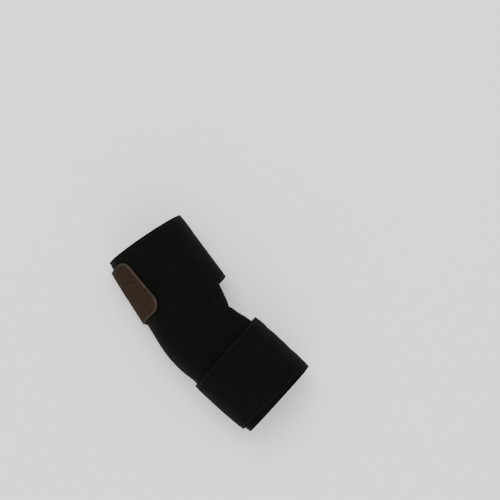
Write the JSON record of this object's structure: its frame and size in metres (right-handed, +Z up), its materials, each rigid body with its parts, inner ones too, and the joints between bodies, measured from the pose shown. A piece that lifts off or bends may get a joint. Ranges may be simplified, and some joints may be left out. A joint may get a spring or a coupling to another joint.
{
  "type": "elbow brace",
  "caption": "Wrap-on neoprene elbow brace lying on its side, closed into a slightly bent sleeve by hook-tabbed upper-arm and forearm straps, open at the crook of the elbow.",
  "frame": {"origin": "under the middle of the bounding box, on the surface that the brace lies on", "axes": "+X towards the forearm's end of the sleeve, -X the upper arm's end; +Y the crook of the elbow, -Y the elbow's point; +Z up, square to the plane in which the elbow bends"},
  "size_m": [0.2452, 0.1142, 0.0913],
  "materials": {
    "neoprene": "black nylon-jersey-faced neoprene foam, matt, fine knit",
    "hook_tape": "dark brown woven backing of hook tape, matt"
  },
  "bodies": {
    "root": {"elbow_panel": "neoprene", "upper_strap": "neoprene", "lower_strap": "neoprene", "upper_hook_tab": "hook_tape", "lower_hook_tab": "hook_tape"}
  },
  "joints": []
}
